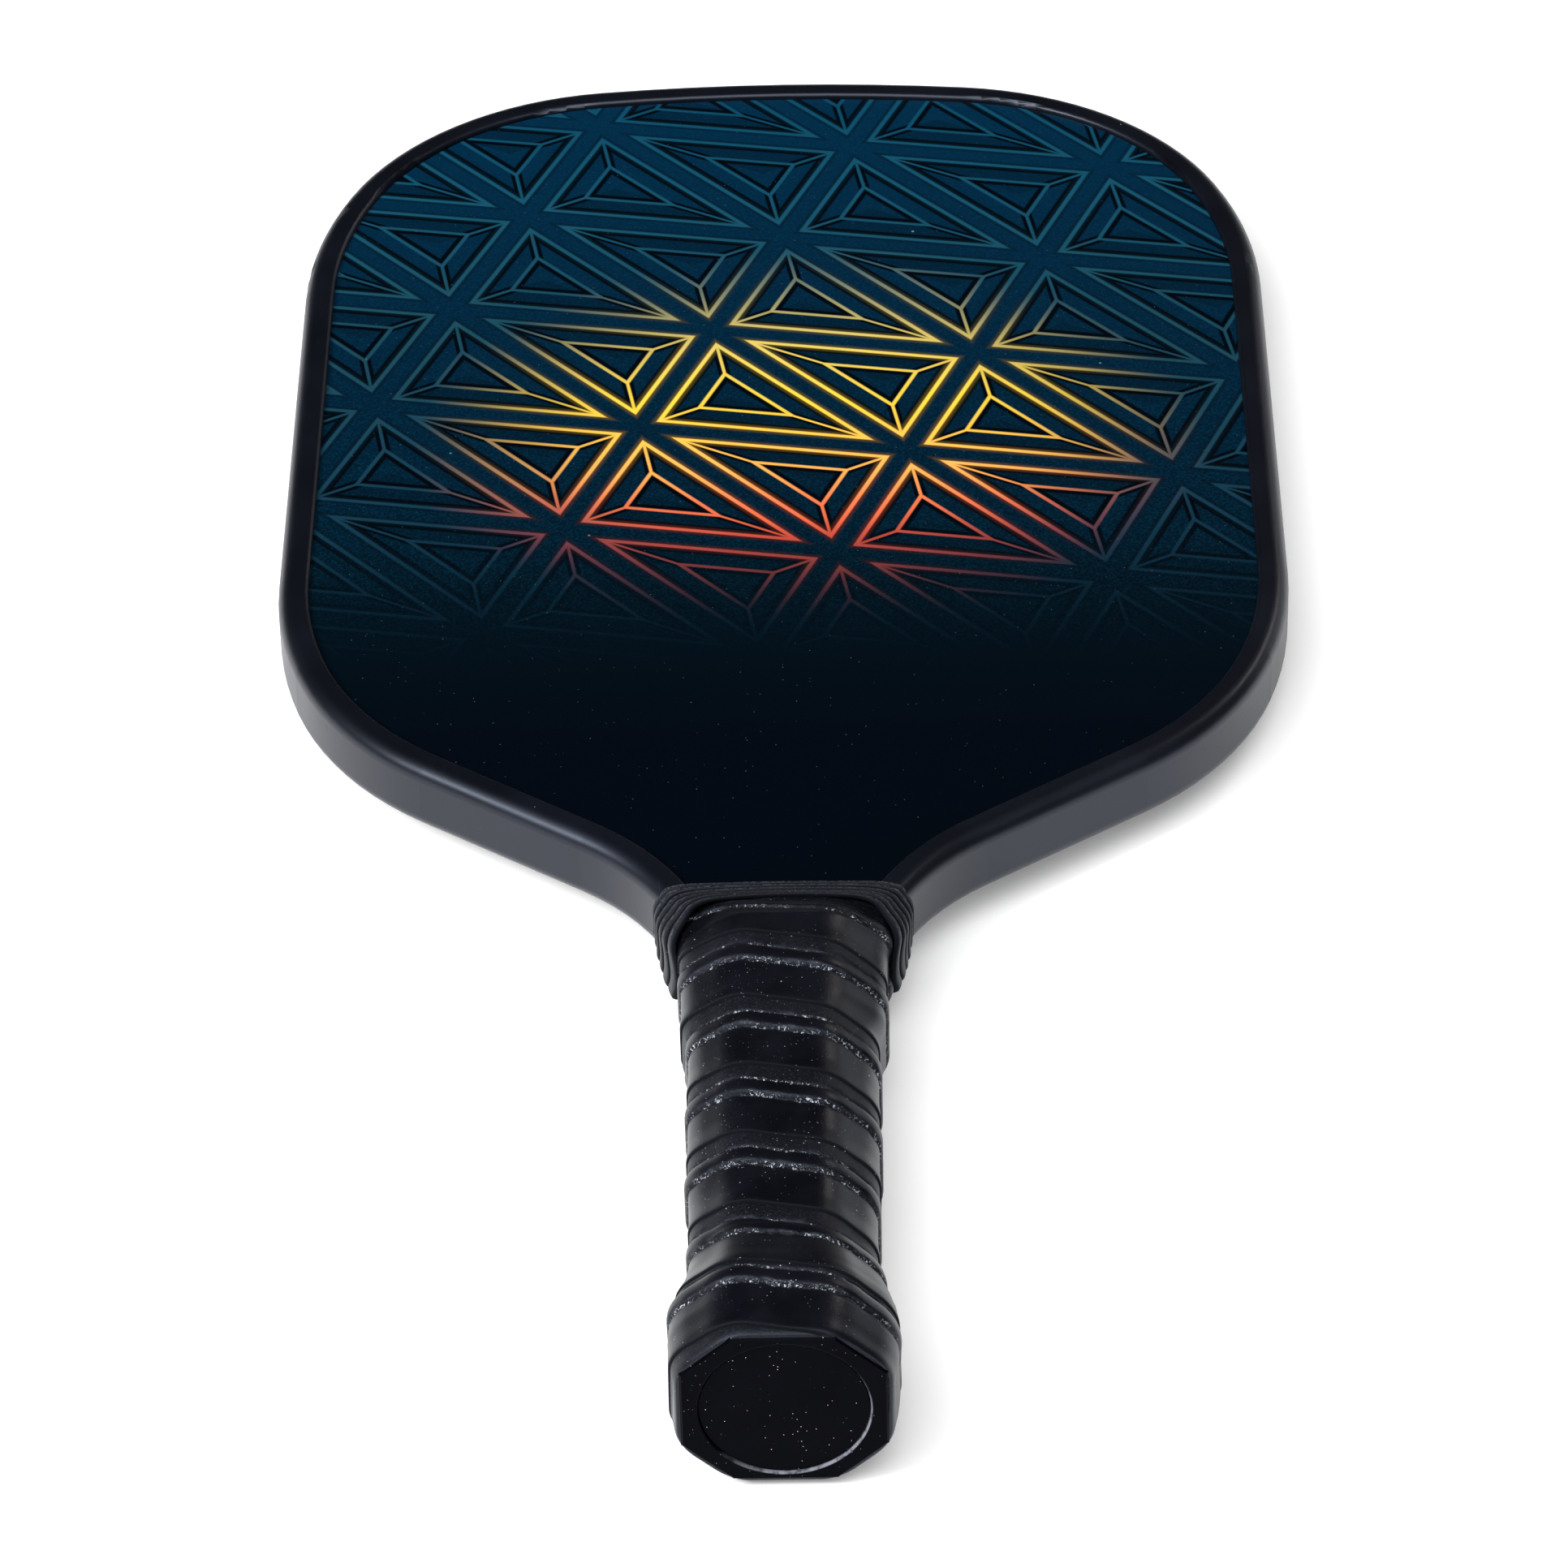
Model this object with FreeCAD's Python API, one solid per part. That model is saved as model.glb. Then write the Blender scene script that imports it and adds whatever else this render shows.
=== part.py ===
import FreeCAD, Part
import math
import os

# Pickleball paddle: a honeycomb panel with two face sheets, a U-shaped edge guard round the
# head, and an octagonal handle built up on the panel's tongue, capped, wrapped and taped.
# Modelled with the butt end at y = 0, the head towards +Y and the panel's mid-plane at z = 0;
# every piece is moved at the end so that the bottom centre of the whole paddle is the origin.

V = FreeCAD.Vector

# ---- overall sizes, mm ----
LENGTH = 397.0                 # butt face to crown of the edge guard
HEAD_WIDTH = 191.2             # across the edge guard
PANEL_THICKNESS = 11.1         # core and both faces
FACE_THICKNESS = 0.6
BOND_THICKNESS = 0.15          # film between the core and each face
CORE_THICKNESS = PANEL_THICKNESS - 2 * (FACE_THICKNESS + BOND_THICKNESS)

# ---- head outline: radius and turn of each arc, outside of the guard ----
CROWN_TURN = 0.111
CORNER_RADIUS, CORNER_TURN = 62.3, 1.064
EASE_RADIUS = 92.4             # from the top corner into the straight side
HIP_RADIUS, HIP_TURN = 84.6, 0.328
SHOULDER_RADIUS = 65.1
SHOULDER_SLOPE = math.radians(34.9)   # shoulder line below the horizontal
THROAT_RADIUS = 48.0           # hollow curve from the shoulder into the handle
THROAT_HALF_WIDTH = 16.4
THROAT_Y = 104.5               # where the hollow curve runs out straight
GUARD_END_Y = 92.0

# ---- edge guard section ----
GUARD_LIP = 5.8                # lip width seen from the front
GUARD_LIP_RISE = 1.3           # lip thickness above the face
GUARD_WEB = 1.5
GUARD_BOND = 0.3               # adhesive strip between the panel edge and the web
GUARD_ROUNDING = 2.8
LIP_ROUNDING = 0.9
PANEL_INSET = GUARD_WEB + GUARD_BOND

# ---- honeycomb ----
CELL_PITCH = 8.0               # across flats, wall to wall
CELL_WALL = 0.5
CELL_MARGIN = 0.8              # solid border left inside the panel edge

# ---- handle ----
CORE_HALF_WIDTH = THROAT_HALF_WIDTH - PANEL_INSET
CORE_HALF_DEPTH = 12.3
OCTAGON_FLAT = 0.505           # share of each half side that stays flat
RAMP_START_Y, RAMP_END_Y = 112.0, 121.0   # pallets slope down to the face

# ---- butt cap ----
CAP_HALF_WIDTH, CAP_HALF_DEPTH = 17.3, 15.8
CAP_FLOOR_Y = 3.2
CAP_FLARE_Y = 17.0             # widest from the rim up to here
CAP_TOP_Y = 28.0               # thin upper edge of the skirt
CAP_SKIRT = 0.7
CAP_EDGE = 0.4
RECESS_RADIUS, RECESS_DEPTH = 14.35, 1.0
RECESS_ROUNDING = 0.35
BADGE_RADIUS, BADGE_THICKNESS = 14.1, 0.5

# ---- staples that hold the cap ----
STAPLE_Y = 22.0
STAPLE_CROWN = 10.0
STAPLE_WIRE = 0.8
STAPLE_LEG = 7.0
STAPLE_TOP_Z = 14.75

# ---- wrap and finishing tape ----
GRIP_WRAP = 2.0
GRIP_START_Y, GRIP_END_Y = 0.4, 119.0
GRIP_CORNER = 3.0
FLARE_HALF_WIDTH, FLARE_HALF_DEPTH = 19.2, 17.6
TAPE_TOP_Y = 128.0
TAPE_LOW_CENTRE_Y, TAPE_LOW_SIDE_Y = 115.0, 104.5


def head_path():
    """Arcs (signed radius, turn) and straights (length) from the crown down to the throat."""
    ease_turn = math.pi / 2 - CROWN_TURN - CORNER_TURN
    shoulder_turn = math.pi / 2 - SHOULDER_SLOPE - HIP_TURN
    throat_turn = HIP_TURN + shoulder_turn
    corner_end = CROWN_TURN + CORNER_TURN
    crown_radius = (
        HEAD_WIDTH / 2
        - CORNER_RADIUS * (math.sin(corner_end) - math.sin(CROWN_TURN))
        - EASE_RADIUS * (1 - math.sin(corner_end))
    ) / math.sin(CROWN_TURN)
    top = [("arc", crown_radius, CROWN_TURN), ("arc", CORNER_RADIUS, CORNER_TURN),
           ("arc", EASE_RADIUS, ease_turn)]
    hip = [("arc", HIP_RADIUS, HIP_TURN), ("arc", SHOULDER_RADIUS, shoulder_turn)]
    throat = [("arc", -THROAT_RADIUS, -throat_turn)]
    # the shoulder line takes up the width that is left, the straight side the length
    top_end = walk(top, V(0, LENGTH, 0), 0.0)[-1][1]
    hip_run = walk(hip, V(0, 0, 0), math.pi / 2)[-1][1]
    throat_run = walk(throat, V(0, 0, 0), math.pi / 2 + throat_turn)[-1][1]
    shoulder = (HEAD_WIDTH / 2 + hip_run.x + throat_run.x - THROAT_HALF_WIDTH) / math.cos(SHOULDER_SLOPE)
    side = top_end.y + hip_run.y + throat_run.y - shoulder * math.sin(SHOULDER_SLOPE) - THROAT_Y
    return top + [("line", side, 0)] + hip + [("line", shoulder, 0)] + throat


def right_of(heading):
    """Unit vector to the right of a heading measured clockwise from +X."""
    return V(-math.sin(heading), -math.cos(heading), 0)


def walk(path, start, heading, inset=0.0):
    """Follow a path clockwise; each step is (start, end, middle or None for a straight)."""
    steps, here = [], start
    for kind, size, turn in path:
        if kind == "line":
            ahead = V(math.cos(heading), -math.sin(heading), 0)
            end, middle = here + ahead * size, None
        else:
            radius = size - inset
            middle = here + (right_of(heading) - right_of(heading + turn / 2)) * radius
            end = here + (right_of(heading) - right_of(heading + turn)) * radius
            heading += turn
        steps.append((here, end, middle))
        here = end
    return steps


def mirrored(point):
    return V(-point.x, point.y, point.z)


def head_face(inset, end_y):
    """Flat face of the head outline moved inwards by `inset`, cut off square at `end_y`."""
    edges = []
    steps = walk(head_path(), V(0, LENGTH - inset, 0), 0.0, inset)
    for start, end, middle in steps:
        for a, b, m in ((start, end, middle), (mirrored(start), mirrored(end), middle and mirrored(middle))):
            edges.append(Part.makeLine(a, b) if m is None else Part.Arc(a, m, b).toShape())
    throat = steps[-1][1]
    foot = V(throat.x, end_y, 0)
    edges += [Part.makeLine(throat, foot), Part.makeLine(mirrored(throat), mirrored(foot)),
              Part.makeLine(foot, mirrored(foot))]
    return Part.Face(Part.Wire(Part.__sortEdges__(edges)))


def slab(face, bottom, top):
    """Flat face in the z = 0 plane made solid between two heights."""
    moved = face.copy()
    moved.translate(V(0, 0, bottom))
    return moved.extrude(V(0, 0, top - bottom))


def octagon(half_width, half_depth, y):
    """Octagonal wire across the handle at height y, without corner rounding."""
    flat_x, flat_z = half_width * OCTAGON_FLAT, half_depth * OCTAGON_FLAT
    corners = [(flat_x, half_depth), (half_width, flat_z), (half_width, -flat_z), (flat_x, -half_depth),
               (-flat_x, -half_depth), (-half_width, -flat_z), (-half_width, flat_z), (-flat_x, half_depth)]
    points = [V(x, y, z) for x, z in corners]
    return Part.makePolygon(points + points[:1])


def soft_octagon(half_width, half_depth, y, rounding):
    """Octagonal wire with rounded corners."""
    corners = [v.Point for v in octagon(half_width, half_depth, y).OrderedVertexes]
    edges, count = [], len(corners)
    cuts = []
    for i, corner in enumerate(corners):
        before = (corners[i - 1] - corner).normalize()
        after = (corners[(i + 1) % count] - corner).normalize()
        half_angle = before.getAngle(after) / 2
        reach = rounding / math.tan(half_angle)
        bisector = (before + after).normalize()
        middle = corner + bisector * (rounding / math.sin(half_angle) - rounding)
        cuts.append((corner + before * reach, middle, corner + after * reach))
    for i, (start, middle, end) in enumerate(cuts):
        edges.append(Part.Arc(start, middle, end).toShape())
        edges.append(Part.makeLine(end, cuts[(i + 1) % count][0]))
    return Part.Wire(edges)


def sleeve(sections):
    """Smooth solid through rounded octagons given as (y, half width, half depth)."""
    return Part.makeLoft([soft_octagon(w, d, y, GRIP_CORNER) for y, w, d in sections], True, False)


def side_profile(points):
    """Solid seen from the side: (y, z) outline carried right across the handle."""
    corners = [V(-60, y, z) for y, z in points]
    face = Part.Face(Part.makePolygon(corners + corners[:1]))
    return face.extrude(V(120, 0, 0))


# ---- panel: core, bond films and faces ----
TONGUE_END_Y = CAP_FLOOR_Y
panel_face = head_face(PANEL_INSET, TONGUE_END_Y)


def honeycomb():
    """Core sheet with open hexagonal cells, a narrow solid border left at the edge."""
    cell_radius = (CELL_PITCH - CELL_WALL) / math.sqrt(3)
    margin = PANEL_INSET + cell_radius + CELL_MARGIN
    inside = head_face(margin, TONGUE_END_Y + cell_radius + CELL_MARGIN)
    row_step = CELL_PITCH * math.sqrt(3) / 2
    rows = int(LENGTH / row_step)
    columns = int(HEAD_WIDTH / 2 / CELL_PITCH) + 1
    cells = []
    for row in range(rows + 1):
        shift = CELL_PITCH / 2 if row % 2 else 0.0
        for column in range(-columns, columns + 1):
            centre = V(column * CELL_PITCH + shift, row * row_step, 0)
            if not inside.isInside(centre, 0.01, True):
                continue
            corners = [
                centre + V(cell_radius * math.sin(k * math.pi / 3), cell_radius * math.cos(k * math.pi / 3), 0)
                for k in range(6)
            ]
            cells.append(Part.makePolygon(corners + corners[:1]))
    sheet = Part.makeFace([panel_face.OuterWire] + cells, "Part::FaceMakerBullseye")
    return slab(sheet, -CORE_THICKNESS / 2, CORE_THICKNESS / 2)


core_top = CORE_THICKNESS / 2
film_top = core_top + BOND_THICKNESS
panel_top = PANEL_THICKNESS / 2
lip_top = panel_top + GUARD_LIP_RISE

honeycomb_core = honeycomb()
front_bond_film = slab(panel_face, core_top, film_top)
rear_bond_film = slab(panel_face, -film_top, -core_top)
front_face_sheet = slab(panel_face, film_top, panel_top)
rear_face_sheet = slab(panel_face, -panel_top, -film_top)
panel = slab(panel_face, -panel_top, panel_top)

# ---- edge guard and the adhesive strip inside it ----
def rim_edges(solid, inset):
    """Upper and lower edges of a solid that follow the outline moved in by `inset`."""
    centres = [e.CenterOfMass for e in head_face(inset, GUARD_END_Y).Edges if abs(e.CenterOfMass.x) > 1e-6]
    level = [e for e in solid.Edges if abs(abs(e.CenterOfMass.z) - lip_top) < 1e-3]
    return [e for e in level if any(math.hypot(e.CenterOfMass.x - c.x, e.CenterOfMass.y - c.y) < 1e-3
                                    for c in centres)]


guard_block = slab(head_face(0, GUARD_END_Y), -lip_top, lip_top)
guard_block = guard_block.makeFillet(GUARD_ROUNDING, rim_edges(guard_block, 0))
web_inside = slab(head_face(GUARD_WEB, GUARD_END_Y), -panel_top, panel_top)
window = slab(head_face(GUARD_LIP, GUARD_END_Y), -lip_top, lip_top)
edge_guard = guard_block.cut(web_inside).cut(window)
edge_guard = edge_guard.makeFillet(LIP_ROUNDING, rim_edges(edge_guard, GUARD_LIP))
guard_bond_strip = web_inside.cut(panel)

# ---- butt cap, badge and staples ----
cap_sections = [(0.0, CAP_HALF_WIDTH, CAP_HALF_DEPTH), (CAP_FLARE_Y, CAP_HALF_WIDTH, CAP_HALF_DEPTH),
                (CAP_TOP_Y, CORE_HALF_WIDTH + CAP_SKIRT, CORE_HALF_DEPTH + CAP_SKIRT)]
cap_body = Part.makeLoft([octagon(w, d, y) for y, w, d in cap_sections], True, True)
cap_body = cap_body.makeChamfer(CAP_EDGE, [e for e in cap_body.Edges if abs(e.BoundBox.YMax) < 1e-6])
handle_prism = Part.Face(octagon(CORE_HALF_WIDTH, CORE_HALF_DEPTH, CAP_FLOOR_Y)).extrude(V(0, 200, 0))
recess = Part.makeCylinder(RECESS_RADIUS, RECESS_DEPTH, V(0, 0, 0), V(0, 1, 0))
butt_badge = Part.makeCylinder(BADGE_RADIUS, BADGE_THICKNESS, V(0, RECESS_DEPTH - BADGE_THICKNESS, 0), V(0, 1, 0))


def staple(side):
    """U-shaped wire: crown lying on the cap skirt, two legs driven inwards."""
    half = STAPLE_WIRE / 2
    reach = STAPLE_TOP_Z - STAPLE_LEG
    crown = Part.makeBox(STAPLE_CROWN, STAPLE_WIRE, STAPLE_WIRE,
                         V(-STAPLE_CROWN / 2, STAPLE_Y - half, STAPLE_TOP_Z - STAPLE_WIRE))
    legs = [Part.makeBox(STAPLE_WIRE, STAPLE_WIRE, STAPLE_LEG, V(x, STAPLE_Y - half, reach))
            for x in (-STAPLE_CROWN / 2, STAPLE_CROWN / 2 - STAPLE_WIRE)]
    wire = crown.multiFuse(legs).removeSplitter()
    if side < 0:
        wire.rotate(V(0, STAPLE_Y, 0), V(0, 1, 0), 180)
    return wire


cap_staples = Part.makeCompound([staple(1), staple(-1)])
cap_body = cap_body.cut(handle_prism).cut(recess)
recess_mouth = [e for e in cap_body.Edges if len(e.Vertexes) == 1 and abs(e.CenterOfMass.y) < 1e-6]
butt_cap = cap_body.makeFillet(RECESS_ROUNDING, recess_mouth).cut(cap_staples)

# ---- handle pallets, one on each face of the tongue ----
pallet_side = side_profile([(CAP_FLOOR_Y, panel_top), (CAP_FLOOR_Y, 2 * CORE_HALF_DEPTH),
                            (RAMP_START_Y, 2 * CORE_HALF_DEPTH), (RAMP_START_Y, CORE_HALF_DEPTH),
                            (RAMP_END_Y, panel_top)])
front_handle_pallet = handle_prism.common(pallet_side).cut(edge_guard).cut(cap_staples)
rear_handle_pallet = front_handle_pallet.mirror(V(0, 0, 0), V(0, 0, 1))
handle_pieces = [panel, edge_guard, guard_bond_strip, front_handle_pallet, rear_handle_pallet,
                 butt_cap, cap_staples, recess]

# ---- cushion grip: (y, half width, half depth) of its outside, from the butt to the throat ----
mid_width, mid_depth = CORE_HALF_WIDTH + GRIP_WRAP, CORE_HALF_DEPTH + GRIP_WRAP
throat_width = THROAT_HALF_WIDTH + GRIP_WRAP
grip_sections = [
    (GRIP_START_Y, FLARE_HALF_WIDTH - 0.9, FLARE_HALF_DEPTH - 0.9),
    (4.0, FLARE_HALF_WIDTH - 0.25, FLARE_HALF_DEPTH - 0.25),
    (10.0, FLARE_HALF_WIDTH, FLARE_HALF_DEPTH),
    (17.0, FLARE_HALF_WIDTH - 0.1, FLARE_HALF_DEPTH - 0.1),
    (22.0, mid_width + 1.9, mid_depth + 2.2),
    (28.0, mid_width + 0.7, mid_depth + 0.8),
    (36.0, mid_width, mid_depth),
    (70.0, mid_width + 0.2, mid_depth + 0.1),
    (86.0, mid_width + 0.7, mid_depth + 0.2),
    (96.0, throat_width, mid_depth + 0.2),
    (106.0, throat_width + 0.5, mid_depth + 0.2),
    (112.0, throat_width + 1.5, mid_depth - 0.4),
    (GRIP_END_Y, throat_width + 3.2, mid_depth - 5.4),
]
grip_envelope = sleeve(grip_sections)
cushion_grip = grip_envelope
for piece in handle_pieces:
    cushion_grip = cushion_grip.cut(piece)

# ---- finishing tape: lower edge arched up over the front and the rear of the handle ----
tape_sections = [
    (100.0, throat_width + 0.6, mid_depth + 0.7),
    (106.0, throat_width + 1.0, mid_depth + 0.7),
    (112.0, throat_width + 2.1, mid_depth + 0.2),
    (GRIP_END_Y, throat_width + 3.9, mid_depth - 4.6),
    (TAPE_TOP_Y, throat_width + 5.3, lip_top + 0.6),
]
arch_half = throat_width + 1.0
left, right = V(-arch_half, TAPE_LOW_SIDE_Y, -40), V(arch_half, TAPE_LOW_SIDE_Y, -40)
arch = Part.Arc(left, V(0, TAPE_LOW_CENTRE_Y, -40), right).toShape()
surround = Part.makePolygon([right, V(60, TAPE_LOW_SIDE_Y, -40), V(60, TAPE_TOP_Y, -40),
                             V(-60, TAPE_TOP_Y, -40), V(-60, TAPE_LOW_SIDE_Y, -40), left])
tape_window = Part.Face(Part.Wire(Part.__sortEdges__([arch] + surround.Edges))).extrude(V(0, 0, 80))
finishing_tape = sleeve(tape_sections).common(tape_window).cut(grip_envelope)
for piece in handle_pieces:
    finishing_tape = finishing_tape.cut(piece)

# ---- hand out every piece in the shared frame ----
nodes = {
    "honeycomb_core": honeycomb_core,
    "front_bond_film": front_bond_film,
    "rear_bond_film": rear_bond_film,
    "front_face_sheet": front_face_sheet,
    "rear_face_sheet": rear_face_sheet,
    "edge_guard": edge_guard,
    "guard_bond_strip": guard_bond_strip,
    "front_handle_pallet": front_handle_pallet,
    "rear_handle_pallet": rear_handle_pallet,
    "butt_cap": butt_cap,
    "butt_badge": butt_badge,
    "cap_staples": cap_staples,
    "cushion_grip": cushion_grip,
    "finishing_tape": finishing_tape,
}
to_frame = V(0, -LENGTH / 2, FLARE_HALF_DEPTH)
os.makedirs("parts", exist_ok=True)
for name, shape in nodes.items():
    solid = shape.copy()
    solid.translate(to_frame)
    solid.exportStep(f"parts/{name}.step")
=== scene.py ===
import math

import bpy
import numpy as np
from mathutils import Matrix, Vector


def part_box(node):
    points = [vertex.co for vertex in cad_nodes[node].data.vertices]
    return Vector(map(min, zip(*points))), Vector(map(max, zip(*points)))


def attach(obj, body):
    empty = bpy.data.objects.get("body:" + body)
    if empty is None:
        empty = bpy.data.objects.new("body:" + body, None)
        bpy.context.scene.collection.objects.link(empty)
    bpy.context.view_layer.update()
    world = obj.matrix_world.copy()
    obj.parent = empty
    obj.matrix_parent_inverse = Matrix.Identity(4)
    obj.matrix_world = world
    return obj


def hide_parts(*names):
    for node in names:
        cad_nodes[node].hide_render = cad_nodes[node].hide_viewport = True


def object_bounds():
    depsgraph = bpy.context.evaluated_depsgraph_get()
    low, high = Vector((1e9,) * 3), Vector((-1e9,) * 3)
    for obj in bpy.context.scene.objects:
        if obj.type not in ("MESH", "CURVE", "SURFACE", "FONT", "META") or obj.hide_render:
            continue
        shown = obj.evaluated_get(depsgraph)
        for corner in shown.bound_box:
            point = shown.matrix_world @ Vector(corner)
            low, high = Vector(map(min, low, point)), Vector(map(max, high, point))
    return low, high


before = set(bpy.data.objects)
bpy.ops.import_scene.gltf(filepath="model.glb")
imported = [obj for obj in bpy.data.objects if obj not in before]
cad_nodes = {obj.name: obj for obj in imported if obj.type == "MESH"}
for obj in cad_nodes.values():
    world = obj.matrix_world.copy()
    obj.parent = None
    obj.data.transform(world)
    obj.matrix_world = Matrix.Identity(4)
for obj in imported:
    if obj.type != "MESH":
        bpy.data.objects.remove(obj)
cad_low, cad_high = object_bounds()

MM = 0.001
BUTT_Y = cad_low.y
MID_Z = sum(corner.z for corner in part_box("edge_guard")) / 2   # the panel's mid-plane


def place(x, y, z):
    """Point in the row frame from mm: x from the middle, y from the butt end, z from the mid-plane."""
    return Vector((x * MM, BUTT_Y + y * MM, MID_Z + z * MM))


# ---------------------------------------------------------------- camera
CAMERA_TARGET = (0.05, 167.64, 0.0)   # mm, as place() takes them
CAMERA_DISTANCE = 1310.95             # mm
CAMERA_ELEVATION = 0.6639             # radians above the panel's plane
CAMERA_AZIMUTH = -0.01394
CAMERA_ROLL = -0.02356
CAMERA_LENS, CAMERA_SENSOR = 163.96, 36.0
CAMERA_CLIP = (0.01, 50.0)            # m


def add_camera():
    """Camera that looks at its target from in front of the butt, above the face."""
    ce, se = math.cos(CAMERA_ELEVATION), math.sin(CAMERA_ELEVATION)
    ca, sa = math.cos(CAMERA_AZIMUTH), math.sin(CAMERA_AZIMUTH)
    cr, sr = math.cos(CAMERA_ROLL), math.sin(CAMERA_ROLL)
    forward = Vector((sa * ce, ca * ce, -se))
    level = Vector((ca, -sa, 0.0))
    up = level.cross(forward)
    right = cr * level + sr * up
    top = cr * up - sr * level
    data = bpy.data.cameras.new("camera")
    data.lens, data.sensor_width, data.sensor_fit = CAMERA_LENS, CAMERA_SENSOR, "HORIZONTAL"
    data.clip_start, data.clip_end = CAMERA_CLIP
    camera = bpy.data.objects.new("camera", data)
    bpy.context.scene.collection.objects.link(camera)
    turn = Matrix((right, top, -forward)).transposed().to_4x4()
    eye = place(*CAMERA_TARGET) - forward * CAMERA_DISTANCE * MM
    camera.matrix_world = Matrix.Translation(eye) @ turn
    bpy.context.scene.camera = camera


# ---------------------------------------------------------------- shader building
class Field:
    """A number that varies over a surface, built from shader maths nodes with ordinary arithmetic."""

    def __init__(self, tree, socket):
        self.tree, self.socket = tree, socket

    def maths(self, operation, *others, clamp=False):
        node = self.tree.nodes.new("ShaderNodeMath")
        node.operation, node.use_clamp = operation, clamp
        for entry, value in zip(node.inputs, (self,) + others):
            if isinstance(value, Field):
                self.tree.links.new(value.socket, entry)
            else:
                entry.default_value = value
        return Field(self.tree, node.outputs[0])

    def __add__(self, other):
        return self.maths("ADD", other)

    __radd__ = __add__

    def __mul__(self, other):
        return self.maths("MULTIPLY", other)

    def __sub__(self, other):
        return self.maths("SUBTRACT", other)

    def __rsub__(self, other):
        return self * -1.0 + other

    def __truediv__(self, other):
        return self.maths("DIVIDE", other)

    def fold(self):
        return self.maths("ABSOLUTE")

    def least(self, other):
        return self.maths("MINIMUM", other)

    def most(self, other):
        return self.maths("MAXIMUM", other)

    def above(self, limit):
        return self.maths("GREATER_THAN", limit)

    def clamped(self):
        return self.maths("ADD", 0.0, clamp=True)

    def step(self, start, end):
        """0 before start, 1 after end, smooth between them; start may be the larger."""
        node = self.tree.nodes.new("ShaderNodeMapRange")
        node.interpolation_type = "SMOOTHSTEP"
        self.tree.links.new(self.socket, node.inputs["Value"])
        low, high, out = (start, end, (0.0, 1.0)) if start < end else (end, start, (1.0, 0.0))
        node.inputs["From Min"].default_value, node.inputs["From Max"].default_value = low, high
        node.inputs["To Min"].default_value, node.inputs["To Max"].default_value = out
        return Field(self.tree, node.outputs["Result"])


COOL_GLOSS = (0.70, 0.80, 1.0, 1.0)   # tint of every surface's plain reflection


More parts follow.
